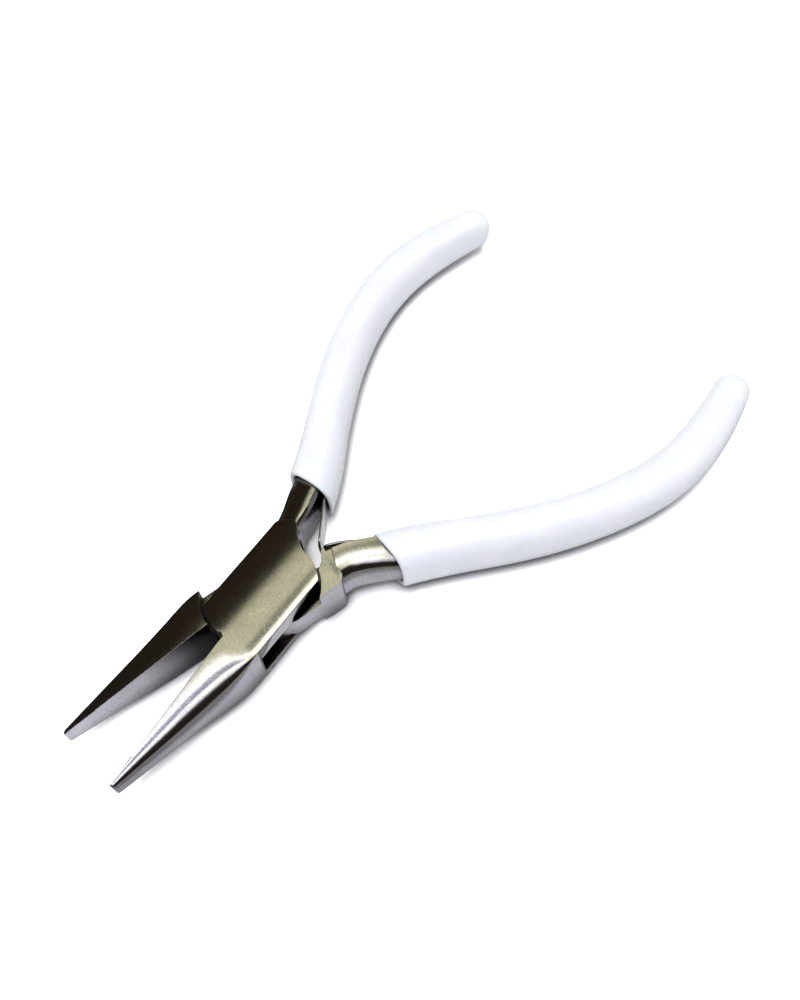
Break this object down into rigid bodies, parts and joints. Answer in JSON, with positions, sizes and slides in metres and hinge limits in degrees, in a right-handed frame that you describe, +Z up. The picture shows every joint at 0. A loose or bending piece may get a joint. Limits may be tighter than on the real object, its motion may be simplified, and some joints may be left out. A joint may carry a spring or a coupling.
{
  "type": "jewellery pliers",
  "caption": "Small box-joint pliers with tapered half-round jaws, twin leaf springs and bowed, white dipped handles, for bending and gripping jewellery wire.",
  "frame": {"origin": "on the pivot's axis, at the centre of the joint's underside", "axes": "+X from the pivot towards the jaw tips along the line midway between the jaws, +Z up through the joint, +Y towards the outer half's jaw"},
  "size_m": [0.1162, 0.0702, 0.0098],
  "materials": {
    "steel": "satin, finely brushed across",
    "spring_steel": "bright rolled strip",
    "rivet_steel": "plain",
    "white_pvc": "smooth, glossy, dipped"
  },
  "bodies": {
    "outer_half": {"outer_half": "steel", "pivot_pin": "steel", "grip_outer": "white_pvc", "spring_root_outer": "spring_steel", "spring_rivet_outer": "rivet_steel"},
    "inner_half": {"inner_half": "steel", "grip_inner": "white_pvc", "spring_root_inner": "spring_steel", "spring_rivet_inner": "rivet_steel"},
    "outer_leaf": {"spring_blade_outer": "spring_steel"},
    "inner_leaf": {"spring_blade_inner": "spring_steel"}
  },
  "joints": [
    {"name": "pivot", "type": "hinge", "parent": "outer_half", "child": "inner_half", "pos_m": [0, 0, 0.0045], "axis": [0, 0, 1], "range_deg": [-8, 17.1], "stiffness_Nm_per_rad": 0.3},
    {"name": "outer_leaf_flex", "type": "hinge", "parent": "outer_half", "child": "outer_leaf", "pos_m": [-0.01721, -0.00557, 0.0045], "axis": [0, 0, 1], "range_deg": [-21, 10]},
    {"name": "inner_leaf_flex", "type": "hinge", "parent": "inner_half", "child": "inner_leaf", "pos_m": [-0.01722, 0.00552, 0.0045], "axis": [0, 0, 1], "range_deg": [-2.2, 4.6]}
  ],
  "couplings": [
    {"joint": "outer_leaf_flex", "follows": "pivot", "ratio": -1.216},
    {"joint": "inner_leaf_flex", "follows": "pivot", "ratio": 0.26}
  ]
}
